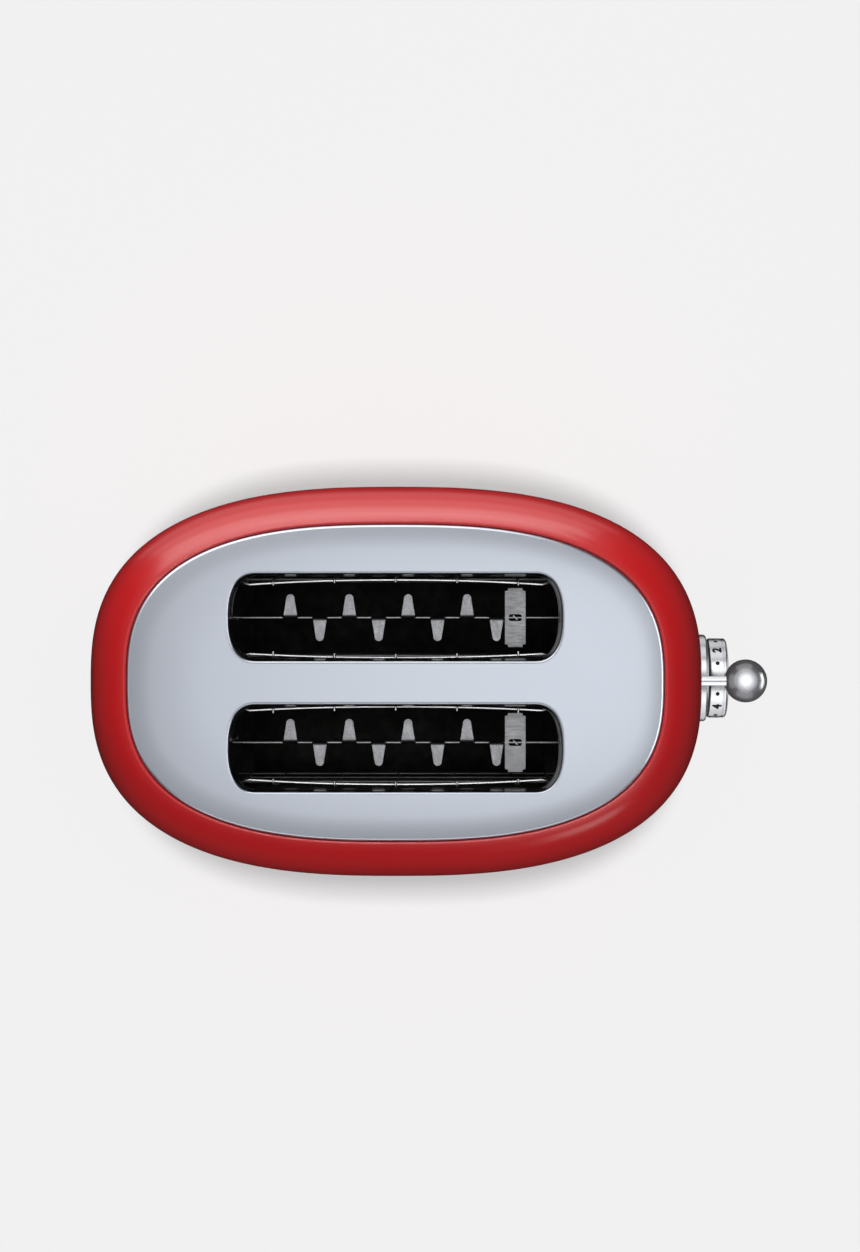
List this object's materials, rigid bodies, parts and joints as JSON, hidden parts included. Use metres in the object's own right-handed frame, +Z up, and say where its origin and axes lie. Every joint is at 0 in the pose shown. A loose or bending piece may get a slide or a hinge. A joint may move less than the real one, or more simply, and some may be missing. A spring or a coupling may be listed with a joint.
{
  "type": "pop up toaster",
  "caption": "Pop-up toaster with an oval painted shell, silver top plate, long bread slots, ball lever over a round dial, push buttons and a pull-out crumb tray.",
  "frame": {"origin": "on the table plane, under the middle of the whole object's box from the rear cord gland to the lever ball", "axes": "+X towards the control end with the lever, +Y to the right-hand side as seen from that end, +Z up"},
  "size_m": [0.3415, 0.1978, 0.198],
  "materials": {
    "painted_shell": "gloss enamel",
    "silver_plate": "fine satin",
    "black_enamel": "gloss",
    "chrome_trim": "polished",
    "satin_steel": "satin",
    "black_plastic": "matte",
    "foot_rubber": "matte",
    "galvanised_steel": "galvanised",
    "guide_wire": "nickel plated",
    "darkened_steel": "heat darkened",
    "mica_board": "mica paper",
    "heating_ribbon": "oxidised",
    "soft_iron": "machined",
    "copper_winding": "lacquered wire",
    "circuit_board": "solder mask",
    "ivory_plastic": "semi-matte",
    "spring_steel": "bright drawn"
  },
  "bodies": {
    "housing": {"body_shell": "painted_shell", "top_plate": "silver_plate", "slot_liner_left": "black_enamel", "slot_liner_right": "black_enamel", "side_trim": "chrome_trim", "base_plinth": "satin_steel", "bottom_cover": "black_plastic", "rubber_feet": "foot_rubber", "foot_screws": "spring_steel", "cord_gland": "black_plastic", "gland_nut": "black_plastic", "lever_slot_guard": "black_plastic", "knob_bezel": "chrome_trim", "button_bezels": "chrome_trim", "chassis_base": "darkened_steel", "chassis_posts": "galvanised_steel", "end_frame_front": "darkened_steel", "end_frame_rear": "darkened_steel", "side_reflector_left": "darkened_steel", "side_reflector_right": "darkened_steel", "centre_divider": "darkened_steel", "heater_boards_left": "mica_board", "heater_boards_right": "mica_board", "heating_ribbons_left": "heating_ribbon", "heating_ribbons_right": "heating_ribbon", "guide_rod": "spring_steel", "rod_bridge": "galvanised_steel", "lift_spring": "spring_steel", "magnet_bracket": "galvanised_steel", "magnet_core": "soft_iron", "magnet_coil": "copper_winding", "main_switch": "black_plastic", "control_board": "circuit_board", "board_components": "black_plastic", "potentiometer": "black_plastic", "tact_switches": "black_plastic", "terminal_block": "ivory_plastic", "tray_rails": "black_plastic"},
    "carriage": {"bread_rack_left": "galvanised_steel", "bread_rack_right": "galvanised_steel", "rack_saddle_left": "galvanised_steel", "rack_saddle_right": "galvanised_steel", "carriage_bracket": "galvanised_steel", "carriage_bush": "ivory_plastic", "armature": "soft_iron", "lever_arm": "chrome_trim", "lever_ball": "chrome_trim"},
    "left_outer_guide": {"guide_left_outer": "guide_wire"},
    "left_inner_guide": {"guide_left_inner": "guide_wire"},
    "right_inner_guide": {"guide_right_inner": "guide_wire"},
    "right_outer_guide": {"guide_right_outer": "guide_wire"},
    "dial": {"control_knob": "chrome_trim", "knob_hub": "black_plastic", "knob_spindle": "spring_steel"},
    "stop_button": {"button_stop": "chrome_trim"},
    "reheat_button": {"button_reheat": "chrome_trim"},
    "defrost_button": {"button_defrost": "chrome_trim"},
    "tray": {"crumb_tray": "darkened_steel", "tray_handle": "satin_steel"}
  },
  "joints": [
    {"name": "carriage_slide", "type": "slide", "parent": "housing", "child": "carriage", "axis": [0, 0, 1], "range_m": [-0.047, 0], "stiffness_N_per_m": 55, "springref_m": 0.09, "deforming": ["lift_spring"]},
    {"name": "left_outer_guide_swing", "type": "hinge", "parent": "housing", "child": "left_outer_guide", "pos_m": [-0.016, -0.0515, 0.062], "axis": [1, 0, 0], "range_deg": [-5.6, 0]},
    {"name": "left_inner_guide_swing", "type": "hinge", "parent": "housing", "child": "left_inner_guide", "pos_m": [-0.016, -0.0125, 0.062], "axis": [1, 0, 0], "range_deg": [0, 5.6]},
    {"name": "right_inner_guide_swing", "type": "hinge", "parent": "housing", "child": "right_inner_guide", "pos_m": [-0.016, 0.0125, 0.062], "axis": [1, 0, 0], "range_deg": [-5.6, 0]},
    {"name": "right_outer_guide_swing", "type": "hinge", "parent": "housing", "child": "right_outer_guide", "pos_m": [-0.016, 0.0515, 0.062], "axis": [1, 0, 0], "range_deg": [0, 5.6]},
    {"name": "dial_turn", "type": "hinge", "parent": "housing", "child": "dial", "pos_m": [0.154, 0, 0.07], "axis": [1, 0, 0], "range_deg": [-135, 90]},
    {"name": "stop_press", "type": "slide", "parent": "housing", "child": "stop_button", "axis": [-1, 0, 0], "range_m": [0, 0.002], "stiffness_N_per_m": 400, "springref_m": -0.0005},
    {"name": "reheat_press", "type": "slide", "parent": "housing", "child": "reheat_button", "axis": [-1, 0, 0], "range_m": [0, 0.002], "stiffness_N_per_m": 400, "springref_m": -0.0005},
    {"name": "defrost_press", "type": "slide", "parent": "housing", "child": "defrost_button", "axis": [-1, 0, 0], "range_m": [0, 0.002], "stiffness_N_per_m": 400, "springref_m": -0.0005},
    {"name": "tray_slide", "type": "slide", "parent": "housing", "child": "tray", "axis": [-1, 0, 0], "range_m": [0, 0.235]}
  ],
  "couplings": [
    {"joint": "left_outer_guide_swing", "follows": "carriage_slide", "rad_per_m": 2.042},
    {"joint": "left_inner_guide_swing", "follows": "carriage_slide", "rad_per_m": -2.042},
    {"joint": "right_inner_guide_swing", "follows": "carriage_slide", "rad_per_m": 2.042},
    {"joint": "right_outer_guide_swing", "follows": "carriage_slide", "rad_per_m": -2.042}
  ]
}
